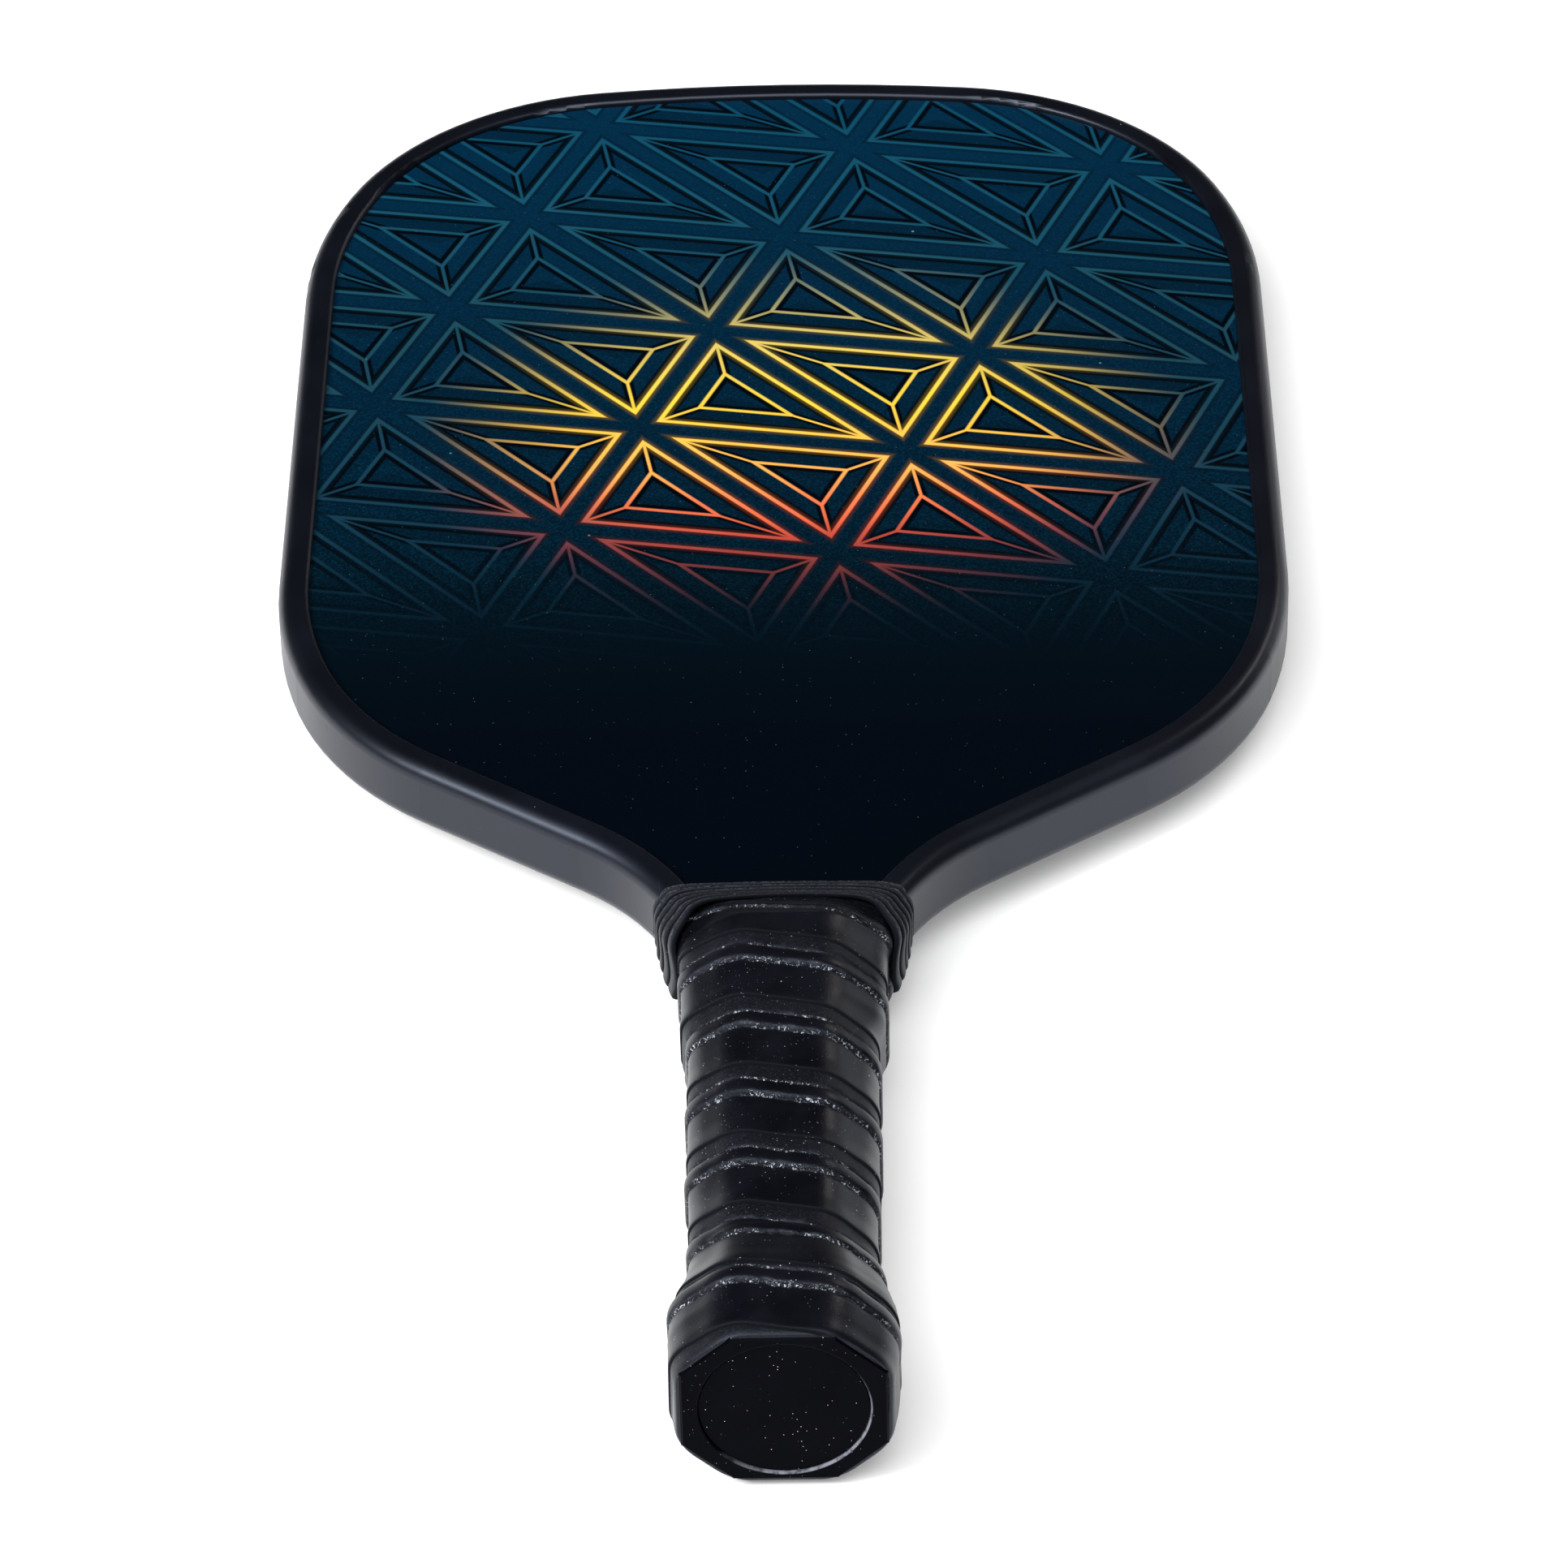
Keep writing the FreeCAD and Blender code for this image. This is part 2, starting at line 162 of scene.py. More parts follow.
class Surface:
    """One procedural material, with its pattern built in object coordinates."""

    def __init__(self, name, **constants):
        self.material = bpy.data.materials.new(name)
        self.material.use_nodes = True
        self.tree = self.material.node_tree
        self.shader = self.tree.nodes["Principled BSDF"]
        self.shader.inputs["Specular Tint"].default_value = COOL_GLOSS
        for key, value in constants.items():
            self.shader.inputs[key.replace("_", " ")].default_value = value
        self.point = self.tree.nodes.new("ShaderNodeTexCoord").outputs["Object"]

    def link(self, a, b):
        self.tree.links.new(a.socket if isinstance(a, Field) else a, b)

    def axes(self):
        """Object x, y and z in mm, y from the butt end and z from the mid-plane."""
        node = self.tree.nodes.new("ShaderNodeSeparateXYZ")
        self.link(self.point, node.inputs[0])
        x, y, z = (Field(self.tree, out) * 1000.0 for out in node.outputs)
        return x, y - BUTT_Y / MM, z - MID_Z / MM

    def stretched(self, scale):
        node = self.tree.nodes.new("ShaderNodeMapping")
        node.inputs["Scale"].default_value = scale
        self.link(self.point, node.inputs["Vector"])
        return node.outputs[0]

    def noise(self, grain, detail=3.0, roughness=0.55, stretch=None, distortion=0.0):
        """Soft noise, about `grain` mm from lump to lump."""
        node = self.tree.nodes.new("ShaderNodeTexNoise")
        node.inputs["Scale"].default_value = 1000.0 / grain
        node.inputs["Detail"].default_value = detail
        node.inputs["Roughness"].default_value = roughness
        node.inputs["Distortion"].default_value = distortion
        self.link(self.stretched(stretch) if stretch else self.point, node.inputs["Vector"])
        return Field(self.tree, node.outputs["Fac"])

    def flecks(self, spacing, size, share):
        """Small spots `size` mm wide, in a `share` of cells that are `spacing` mm apart."""
        node = self.tree.nodes.new("ShaderNodeTexVoronoi")
        node.inputs["Scale"].default_value = 1000.0 / spacing
        self.link(self.point, node.inputs["Vector"])
        near = Field(self.tree, node.outputs["Distance"]).step(size / spacing * 0.65, size / spacing * 0.35)
        pick = self.tree.nodes.new("ShaderNodeSeparateColor")
        self.link(node.outputs["Color"], pick.inputs[0])
        chosen = Field(self.tree, pick.outputs[0]).above(1.0 - share)
        return near * chosen * Field(self.tree, pick.outputs[1])

    def mix(self, share, a, b):
        """Colour a where share is 0, colour b where it is 1."""
        node = self.tree.nodes.new("ShaderNodeMix")
        node.data_type = "RGBA"
        self.link(share, node.inputs["Factor"])
        for entry, value in zip([i for i in node.inputs if i.type == "RGBA"], (a, b)):
            if isinstance(value, tuple):
                entry.default_value = (*value, 1.0)
            else:
                self.link(value, entry)
        return [o for o in node.outputs if o.type == "RGBA"][0]

    def ramp(self, value, stops):
        """Colour ramp from (position, colour) stops."""
        node = self.tree.nodes.new("ShaderNodeValToRGB")
        points = node.color_ramp.elements
        while len(points) < len(stops):
            points.new(0.5)
        for point, (position, colour) in zip(points, stops):
            point.position, point.color = position, (*colour, 1.0)
        self.link(value, node.inputs[0])
        return node.outputs["Color"]

    def attribute(self, name):
        node = self.tree.nodes.new("ShaderNodeAttribute")
        node.attribute_name = name
        return Field(self.tree, node.outputs["Fac"])

    def bump(self, height, depth):
        """Relief of `depth` mm where height goes from 0 to 1."""
        node = self.tree.nodes.new("ShaderNodeBump")
        node.inputs["Strength"].default_value = 1.0
        node.inputs["Distance"].default_value = depth * MM
        self.link(height, node.inputs["Height"])
        self.link(node.outputs[0], self.shader.inputs["Normal"])

    def colour(self, value):
        self.link(value, self.shader.inputs["Base Color"])

    def roughness(self, value):
        self.link(value.clamped(), self.shader.inputs["Roughness"])


# ---------------------------------------------------------------- handle outline
# The handle is an octagon whose corners move with height; these tables hold one turn round it,
# starting at the middle of the front and going towards +X, as shares of the half sizes.
CORNER_TURNS = (0.0, 0.085, 0.167, 0.333, 0.415, 0.585, 0.667, 0.833, 0.915, 1.0)
CORNER_SOFTNESS = 0.027           # turn either side of a corner over which it is rounded
OCTAGON_FLAT = 0.505              # share of each half side that stays flat
NORMAL_STEP = 0.002               # turn either side of a point that its normal is measured over


def soft_table(values, samples=2000):
    """Piecewise straight values round one turn, smoothed at the corners, as a lookup table."""
    turns = np.arange(samples) / samples
    window = np.linspace(-CORNER_SOFTNESS, CORNER_SOFTNESS, 41)
    looked = np.interp((turns[:, None] + window) % 1.0, CORNER_TURNS, values)
    return looked.mean(axis=1)


FULL_X = soft_table((0, 0, 1, 1, 0, 0, -1, -1, 0, 0))
FLAT_X = soft_table((0, 1, 0, 0, 1, -1, 0, 0, -1, 0))
FULL_Z = soft_table((1, 1, 0, 0, -1, -1, 0, 0, 1, 1))
FLAT_Z = soft_table((0, 0, 1, -1, 0, 0, -1, 1, 0, 0))


def look_up(table, turn):
    """Value of a one-turn table at any turns, wrapping round."""
    position = (turn % 1.0) * len(table)
    left = np.floor(position).astype(int)
    share = position - left
    return table[left % len(table)] * (1 - share) + table[(left + 1) % len(table)] * share


def around(turn, half_width, half_depth, flat_x=OCTAGON_FLAT, flat_z=OCTAGON_FLAT):
    """x, z and outward normal on the handle's outline, all arrays, in mm."""
    def point(t):
        return (half_width * (look_up(FULL_X, t) + flat_x * look_up(FLAT_X, t)),
                half_depth * (look_up(FULL_Z, t) + flat_z * look_up(FLAT_Z, t)))
    x, z = point(turn)
    ahead, behind = point(turn + NORMAL_STEP), point(turn - NORMAL_STEP)
    dx, dz = ahead[0] - behind[0], ahead[1] - behind[1]
    length = np.hypot(dx, dz)
    return x, z, -dz / length, dx / length


def ease(value, start, end):
    """Smooth rise from 0 at start to 1 at end."""
    share = np.clip((value - start) / (end - start), 0.0, 1.0)
    return share * share * (3 - 2 * share)


def rough(turns, seed, spacing):
    """Seeded random value from -1 to 1 along the strip, one fresh value every `spacing` turns."""
    count, turns_before_zero = 4096, 50.0
    table = np.random.default_rng(seed).uniform(-1.0, 1.0, count)
    position = (turns + turns_before_zero) / spacing
    left = np.floor(position).astype(int)
    share = ease(position - left, 0.0, 1.0)
    return table[left % count] * (1 - share) + table[(left + 1) % count] * share


def between(y, stops):
    """Value at y on straight lines between (y, value) stops."""
    return np.interp(y, *zip(*stops))


def strip_mesh(name, top, under, attributes):
    """Closed solid strip from two grids of points (along, across, xyz) in mm: its top and its underside.

    The attributes are named values of the top's points, for the strip's material; the underside gets 0."""
    along, top_rows = top.shape[:2]
    under_rows = under.shape[1]
    ring = np.concatenate([top, under[:, ::-1]], axis=1)
    points = ring.reshape(-1, 3)
    index = np.arange(len(points)).reshape(along, top_rows + under_rows)
    following = np.roll(index, -1, axis=1)
    quads = np.stack([index[:-1], following[:-1], following[1:], index[1:]], axis=-1).reshape(-1, 4)
    faces = quads.tolist() + [index[0][::-1].tolist(), index[-1].tolist()]
    mesh = bpy.data.meshes.new(name)
    mesh.from_pydata([tuple(place(*p)) for p in points.tolist()], [], faces)
    for key, values in attributes.items():
        layer = mesh.attributes.new(key, "FLOAT", "POINT")
        padded = np.concatenate([values, np.zeros((along, under_rows))], axis=1)
        layer.data.foreach_set("value", padded.reshape(-1).astype(np.float32))
    mesh.validate()
    mesh.update()
    piece = bpy.data.objects.new(name, mesh)
    bpy.context.scene.collection.objects.link(piece)
    mesh.shade_smooth()
    return piece


# ---------------------------------------------------------------- cushion grip
GRIP_PITCH = 18.0                 # mm between turns
GRIP_FIRST_EDGE = 16.9            # lower edge of turn 0 at the middle of the front
GRIP_STRIP = 1.27                 # strip width in pitches: the rest lies under the next turn
GRIP_FIRST_TURN, GRIP_LAST_TURN = -2.32, 5.95
GRIP_RIM_Y, GRIP_TOP_Y = 0.35, 124.4
GRIP_STEP = 1 / 180               # turn between two rows of points
GRIP_THICK = 1.5
LOWER_ROW, UPPER_ROW = 0.578, 0.802   # rough rows either side of the bead, in pitches from the lower edge
BEAD_HEIGHT = 0.6
PRESSED_TURN = (-1.3, -1.1)       # the first turn is smooth; bead and rows come up between these turns
# (mm from the butt, half size in mm) of the core, cap and guard that the grip is wound on
BASE_WIDTH = (
    (0, 16.9), (5, 17.5), (10, 17.8), (17, 17.4), (20, 16.7), (24, 15.5), (28, 14.7), (31, 14.4),
    (44, 14.5), (50, 14.9), (84, 15.1), (88, 15.0), (93, 16.4), (104, 16.6), (112, 17.0), (120, 18.8),
    (124, 20.0))
BASE_DEPTH = (
    (0, 15.4), (5, 15.8), (10, 16.0), (17, 15.7), (20, 15.2), (24, 14.2), (28, 13.0), (31, 12.3),
    (113.5, 12.3), (123, 7.4))


def strip_edge(turn):
    """Height of the strip's lower edge, mm from the butt; the first turn lies flatter along the rim."""
    wave = 0.25 * rough(turn, 7, 0.13) + 0.12 * rough(turn, 9, 0.05)
    return GRIP_FIRST_EDGE + GRIP_PITCH * turn + 2.4 * ease(-turn, 0.35, 1.05) + wave


def grip_height(across, turn):
    """Top of the grip strip above what it lies on, mm; across runs from its lower edge (0), in pitches."""
    mm = across * GRIP_PITCH
    lower_edge = 0.30 * (1 - ease(mm, 0.0, 5.0)) - 0.60 * (1 - ease(mm, -0.3, 0.5)) ** 1.5
    upper_edge = -0.9 * ease(across, 1.02, GRIP_STRIP)
    bead_middle, bead_half = (LOWER_ROW + UPPER_ROW) / 2, (UPPER_ROW - LOWER_ROW) / 2
    bead = BEAD_HEIGHT * np.sqrt(np.clip(1 - ((across - bead_middle) / bead_half) ** 2, 0, 1))
    shown = ease(turn, *PRESSED_TURN)
    height = GRIP_THICK + lower_edge + upper_edge + bead * shown
    for seed, row in ((3, LOWER_ROW), (5, UPPER_ROW)):
        wander = row + 0.012 * rough(turn, seed, 0.031) + 0.012 * rough(turn, seed + 60, 0.011)
        near = shown * np.exp(-(((across - wander) * GRIP_PITCH) / 0.42) ** 2)
        torn = 0.55 * rough(turn, seed + 20, 0.0085) + 0.45 * rough(turn + across, seed + 40, 0.0061)
        height = height + near * (-0.42 + 0.55 * torn)
    return height


def grip_points(turn, across, height):
    """Points of the wound strip: turns from the start of the strip, pitches across it, mm off the base."""
    y = strip_edge(turn) + GRIP_PITCH * across
    x, z, nx, nz = around(-turn, between(y, BASE_WIDTH), between(y, BASE_DEPTH))
    round_over = 1 - np.sqrt(1 - (1 - np.clip((y - GRIP_RIM_Y) / 1.4, 0, 1)) ** 2)
    off = height * (1 - 0.35 * round_over) - 0.3 * (1 - ease(y, 0.0, 9.0))
    return np.stack([x + nx * off, y, z + nz * off], axis=-1)


def trimmed(turn, rows):
    """Rows across the strip, squeezed where the strip is cut off at the rim or at its far end."""
    edge = strip_edge(turn)
    first = np.clip((GRIP_RIM_Y - edge) / GRIP_PITCH, 0.0, GRIP_STRIP - 0.01)
    last = np.clip((GRIP_TOP_Y - edge) / GRIP_PITCH, first + 0.01, GRIP_STRIP)
    return first + (last - first) * rows / GRIP_STRIP


def make_grip():
    """The grip strip, with most rows of points at its lower edge, its rough rows and its bead."""
    turns = np.arange(GRIP_FIRST_TURN, GRIP_LAST_TURN, GRIP_STEP)
    edge = np.array([0.0, 0.006, 0.015, 0.028, 0.045])
    smooth = np.linspace(0.075, LOWER_ROW - 0.045, 12)
    low_row = np.linspace(LOWER_ROW - 0.03, LOWER_ROW + 0.02, 6)
    bead = np.linspace(LOWER_ROW + 0.035, UPPER_ROW - 0.035, 9)
    high_row = np.linspace(UPPER_ROW - 0.02, UPPER_ROW + 0.03, 6)
    narrow = np.linspace(UPPER_ROW + 0.05, 1.03, 6)
    hidden = np.array([1.1, 1.18, GRIP_STRIP])
    rows = np.concatenate([edge, smooth, low_row, bead, high_row, narrow, hidden])
    turn, row = np.meshgrid(turns, rows, indexing="ij")
    across = trimmed(turn, row)
    top = grip_points(turn, across, grip_height(across, turn))
    under_rows = np.array([0.0, 0.09, 0.18, 0.27, 0.6, 1.0, GRIP_STRIP])
    turn_u, row_u = np.meshgrid(turns, under_rows, indexing="ij")
    across_u = trimmed(turn_u, row_u)
    # the lower part of each turn rests on the upper part of the turn before it
    on_top = (across_u <= GRIP_STRIP - 1.0 + 1e-6) & (turn_u - 1.0 > GRIP_FIRST_TURN)
    below = np.where(on_top, grip_height(across_u + 1.0, turn_u - 1.0), 0.0)
    below = np.clip(below, 0.02, grip_height(across_u, turn_u) - 0.25)
    under = grip_points(turn_u, across_u, below)
    torn = sum(np.exp(-(((across - middle) * GRIP_PITCH) / reach) ** 2)
               for middle, reach in ((LOWER_ROW, 0.6), (UPPER_ROW, 0.5)))
    torn = torn * ease(turn, *PRESSED_TURN)
    narrow_zone = ease(across, UPPER_ROW, UPPER_ROW + 0.04)
    # painted shade: marks a thin band along each turn's lower edge, which the grip's finish colours
    # near-black as the crevice where it laps onto the turn below
    lap_shade = np.exp(-(across * GRIP_PITCH / 0.55) ** 2)
    return strip_mesh("wound_grip", top, under, {"torn": torn, "narrow": narrow_zone, "lap_shade": lap_shade})


# ---------------------------------------------------------------- finishing tape
TAPE_TURNS = 6.0
TAPE_STRIP = 1.45                 # tape width in turns' spacings
TAPE_STEP = 1 / 160
TAPE_THICK = 0.36
TAPE_START = 0.5                  # the tape begins at the middle of the rear
# (mm from the butt, value) of the half sizes and flat shares that the tape is wound on, grip to guard
TAPE_WIDTH = (
    (103, 17.3), (106, 17.3), (109, 17.7), (112, 18.6), (114, 19.5), (118, 20.9), (122, 21.8), (129, 22.7))
TAPE_DEPTH = ((103, 14.3), (113.5, 14.0), (119, 11.1), (121, 10.0), (123.5, 8.9), (126, 7.7), (130, 6.9))
TAPE_FLAT_X = ((110, OCTAGON_FLAT), (129, 0.9))
TAPE_FLAT_Z = ((110, OCTAGON_FLAT), (129, 0.45))


def tape_line(turn, share):
    """y of a line on the tape, mm: share 0 is the lower edge of the whole band, 1 its upper edge."""
    side = np.sin(2 * np.pi * turn) ** 2
    low = 123.2 - 12.6 * side + 1.5 * np.sin(2 * np.pi * turn)
    high = 129.6 - 0.8 * side
    return low + (high - low) * share


def make_tape():
    """The finishing tape, one thin strip whose turns lie close on the front and spread at the sides."""
    turns = np.arange(0.0, TAPE_TURNS + 0.0001, TAPE_STEP)
    rows = np.array([0.0, 0.04, 0.12, 0.25, 0.4, 0.6, 0.75, 0.88, 0.96, 1.0, 1.2, TAPE_STRIP])
    turn, across = np.meshgrid(turns, rows, indexing="ij")

    def points(turn, across, height):
        round_turn = TAPE_START - turn
        wave = 0.10 * rough(turn, 31, 0.21) + 0.05 * rough(turn, 33, 0.07)
        share = np.clip((turn + across + wave * ease(turn, 0.0, 0.6)) / (TAPE_TURNS + 0.35), 0.0, 1.0)
        y = tape_line(round_turn, share)
        sizes = [between(y, stops) for stops in (TAPE_WIDTH, TAPE_DEPTH, TAPE_FLAT_X, TAPE_FLAT_Z)]
        x, z, nx, nz = around(round_turn, *sizes)
        return np.stack([x + nx * height, y, z + nz * height], axis=-1)

    strand = np.sqrt(np.clip(1 - (2 * across - 1) ** 2, 0, 1))
    thin_edge = (1 - ease(across, -0.02, 0.15)) ** 1.5
    height = TAPE_THICK * (1.7 - 0.7 * across + 1.1 * strand) - 0.6 * TAPE_THICK * thin_edge
    height = np.maximum(height, 0.12) + 0.05 * rough(turn + across * 0.1, 37, 0.045)
    top = points(turn, across, height)
    under_rows = np.array([0.0, 0.5, 1.0, TAPE_STRIP])
    turn_u, across_u = np.meshgrid(turns, under_rows, indexing="ij")
    under = points(turn_u, across_u, np.full(turn_u.shape, 0.01))
    return strip_mesh("wound_tape", top, under, {"across": across})


# ---------------------------------------------------------------- materials
def dust(surface, spacing, size, share):
    """Specks of two sizes."""
    return surface.flecks(spacing, size, share) + surface.flecks(spacing * 2.7, size * 1.7, share * 0.5)


# The print on the face is a plain lattice of bevelled triangles; x and y in mm.
STEP_U, STEP_V = (52.0, -9.0), (14.0, 33.0)
LATTICE_ORIGIN = (-4.0, 199.0)
OUTLINE_AT, INNER_LINE_AT = 2.8, 8.3   # in from the triangle's sides
WARM_CENTRE, WARM_SIZE = (5.0, 271.0), (62.0, 52.0)   # of the warm-coloured oval
SPECK = (0.22, 0.30, 0.36)
# Colours up the face between two heights: (share of the way up, colour).
GROUND_SPAN, WARM_SPAN, COLD_SPAN = (120.0, 395.0), (208.0, 343.0), (218.0, 390.0)
FACE_GROUND = (
    (0.00, (0.0003, 0.0012, 0.0030)), (0.20, (0.0003, 0.0015, 0.0036)), (0.36, (0.0003, 0.0034, 0.0068)),
    (0.44, (0.0002, 0.0060, 0.0140)), (0.53, (0.0002, 0.0075, 0.0190)), (1.00, (0.0002, 0.0175, 0.0460)))
WARM_LINES = (
    (0.00, (0.050, 0.012, 0.012)), (0.12, (0.28, 0.045, 0.030)), (0.22, (0.55, 0.070, 0.035)),
    (0.30, (0.80, 0.170, 0.060)), (0.38, (0.84, 0.380, 0.080)), (0.55, (0.82, 0.560, 0.045)),
    (0.72, (0.60, 0.460, 0.110)), (0.86, (0.30, 0.310, 0.150)), (1.00, (0.10, 0.150, 0.150)))
COLD_LINES = (
    (0.00, (0.003, 0.017, 0.032)), (0.25, (0.006, 0.034, 0.058)), (0.50, (0.009, 0.048, 0.070)),
    (0.80, (0.006, 0.062, 0.105)), (1.00, (0.003, 0.052, 0.098)))


def speckled(s):
    """Fine metallic grain and stray dust that both faces share."""
    return s.flecks(1.3, 0.20, 0.30) * 0.28 + s.flecks(9.0, 0.5, 0.18) * 0.8


def graded(s, y, span, stops):
    """Colour that changes with height over a span of the face."""
    low, high = span
    return s.ramp((y - low) / (high - low), stops)


def finish_face():
    s = Surface("printed_face", Roughness=0.33, Specular_IOR_Level=0.12)
    x, y, _ = s.axes()
    (ux, uy), (vx, vy) = STEP_U, STEP_V
    area = ux * vy - uy * vx
    shifted_x, shifted_y = x - LATTICE_ORIGIN[0], y - LATTICE_ORIGIN[1]
    a = ((shifted_x * vy - shifted_y * vx) / area).maths("FRACT")
    b = ((shifted_y * ux - shifted_x * uy) / area).maths("FRACT")
    flipped = (a + b).above(1.0)
    a = a + flipped * (1.0 - a * 2.0)
    b = b + flipped * (1.0 - b * 2.0)
    # distances from the three sides of the triangle that the point is in, mm
    da = a * (area / math.hypot(vx, vy))
    db = b * (area / math.hypot(ux, uy))
    dc = (1.0 - a - b) * (area / math.hypot(ux - vx, uy - vy))
    edge = da.least(db).least(dc)
    middle = da.most(db).least(da.least(db).most(dc))

    def line(distance, half):
        return distance.fold().step(half, half * 0.35)

    # outline, inner line and the spokes that join their corners, each with a dark line beside it
    inside = edge.step(OUTLINE_AT + 0.1, OUTLINE_AT + 0.3)
    bevel = inside * edge.step(INNER_LINE_AT + 0.1, INNER_LINE_AT - 0.1)
    spokes = line(middle - edge, 0.76) * bevel
    lines = line(edge - OUTLINE_AT, 0.66).most(spokes * 0.9).most(line(edge - INNER_LINE_AT, 0.58) * 0.9)
    shade = line(edge - OUTLINE_AT - 1.15, 0.95).most(line(edge - INNER_LINE_AT - 1.0, 0.8))
    shade = shade.most(line(edge - OUTLINE_AT + 0.9, 0.5) * 0.5)
    shade = shade.most(line(middle - edge - 1.3, 0.95) * bevel)
    halo = line(edge - OUTLINE_AT, 1.6) * 0.08
    facet = (db - edge).fold().step(0.02, 0.0) * inside

    across, up = (x - WARM_CENTRE[0]) / WARM_SIZE[0], (y - WARM_CENTRE[1]) / WARM_SIZE[1]
    reach = (across * across + up * up).maths("SQRT") + (s.noise(60.0, 1.0) - 0.5) * 0.3
    warm = reach.step(1.25, 0.55)
    tone = s.mix(warm, graded(s, y, COLD_SPAN, COLD_LINES), graded(s, y, WARM_SPAN, WARM_LINES))
    fade = y.step(196.0, 248.0)   # the print fades out towards the throat
    grain = s.noise(0.5, 2.0)
    ground = graded(s, y, GROUND_SPAN, FACE_GROUND)
    ground = s.mix(grain.step(0.40, 0.70) * fade * 0.40, ground, (0.001, 0.030, 0.055))
    ground = s.mix(facet * fade * 0.35, ground, (0.0003, 0.0045, 0.0095))
    ground = s.mix(shade * fade * 0.95, ground, (0.0002, 0.0007, 0.0014))
    printed = s.mix(lines.most(halo) * fade, ground, tone)
    s.colour(s.mix(speckled(s), printed, SPECK))
    s.roughness(0.33 + (grain - 0.5) * 0.14)
    s.bump(grain * 0.4 + lines * fade, 0.03)
    return s.material


def finish_plain_face():
    """The rear face: the same matt speckled coat without the print."""
    s = Surface("rear_face", Roughness=0.33, Specular_IOR_Level=0.12)
    _, y, _ = s.axes()
    grain = s.noise(0.5, 2.0)
    ground = graded(s, y, GROUND_SPAN, FACE_GROUND)
    ground = s.mix(grain.step(0.40, 0.70) * 0.40, ground, (0.003, 0.014, 0.026))
    s.colour(s.mix(speckled(s), ground, SPECK))
    s.roughness(0.33 + (grain - 0.5) * 0.14)
    s.bump(grain, 0.015)
    return s.material


def finish_guard():
    s = Surface("guard_plastic", Roughness=0.4, Specular_IOR_Level=0.45)
    grain, cloud = s.noise(0.35, 2.0), s.noise(22.0, 2.0)
    scratches = s.noise(1.2, 3.0, stretch=(1.0, 0.12, 1.0)).step(0.62, 0.75)
    tone = s.mix(cloud.step(0.35, 0.7), (0.0013, 0.0015, 0.0034), (0.0026, 0.0031, 0.0064))
    s.colour(s.mix(dust(s, 5.0, 0.30, 0.12), tone, (0.20, 0.21, 0.24)))
    s.roughness(0.34 + cloud * 0.10 + scratches * 0.06)
    s.bump(grain, 0.010)
    return s.material


RECESS_RADIUS = 14.35             # of the round recess in the butt cap, mm


def finish_cap():
    s = Surface("cap_plastic", Roughness=0.3, Specular_IOR_Level=0.02)
    cloud = s.noise(8.0, 2.0)
    tone = s.mix(cloud, (0.0005, 0.0005, 0.0011), (0.0014, 0.0014, 0.0028))
    x, _, z = s.axes()
    # painted highlight: the edge of the round recess is coloured bright on its lower right, where the light
    # would catch it
    ring = ((x * x + z * z).maths("SQRT") - RECESS_RADIUS - 0.1).fold().step(0.26, 0.08)
    painted_rim_highlight = ring * (x * 0.75 - z).step(0.0, 15.0) * (s.noise(1.5, 2.0).step(0.35, 0.6) * 0.7 + 0.3)
    tone = s.mix(painted_rim_highlight, tone, (0.16, 0.17, 0.20))
    s.colour(s.mix(dust(s, 0.75, 0.13, 0.42), tone, (0.66, 0.68, 0.72)))
    s.roughness(0.24 + cloud * 0.12)
    s.bump(s.noise(0.4, 2.0), 0.006)
    return s.material


def finish_grip():
    s = Surface("grip_leather", Roughness=0.4, Specular_IOR_Level=0.27)
    torn, narrow, lap_shade = s.attribute("torn"), s.attribute("narrow"), s.attribute("lap_shade")
    pebbles = s.noise(0.45, 3.0)
    sheen = s.noise(9.0, 2.0)
    fibre = s.noise(0.55, 3.0, 0.7, distortion=0.8)
    patches = s.noise(3.2, 2.0)
    row = (torn - 0.35).clamped() * 1.6
    pale = row * fibre.step(0.56, 0.61) * patches.step(0.38, 0.55)
    # painted shade: the pits between the torn fibres are coloured near-black
    pit_shade = row * fibre.step(0.53, 0.45) * 1.4
    dusty = s.noise(16.0, 2.0).step(0.38, 0.62) * 0.9 + 0.1
    tone = s.mix(sheen.step(0.3, 0.7), (0.0013, 0.0013, 0.0026), (0.0034, 0.0034, 0.0058))
    tone = s.mix(narrow * pebbles.step(0.5, 0.75) * 0.6, tone, (0.018, 0.018, 0.022))
    # painted shade: the pits in the torn rows and the crevice along each turn's lower edge are coloured
    # near-black
    tone = s.mix(pit_shade.most(lap_shade * 1.3).clamped(), tone, (0.0002, 0.0002, 0.0004))
    tone = s.mix(pale.clamped(), tone, (0.42, 0.45, 0.50))
    s.colour(s.mix(dust(s, 0.8, 0.15, 0.8) * dusty, tone, (0.40, 0.42, 0.46)))
    s.roughness(0.30 + sheen * 0.12 + narrow * 0.16 + torn * 0.25 + lap_shade * 0.9)
    s.bump(pebbles * (0.30 + narrow * 0.6) + fibre * torn * 3.5, 0.07)
    return s.material


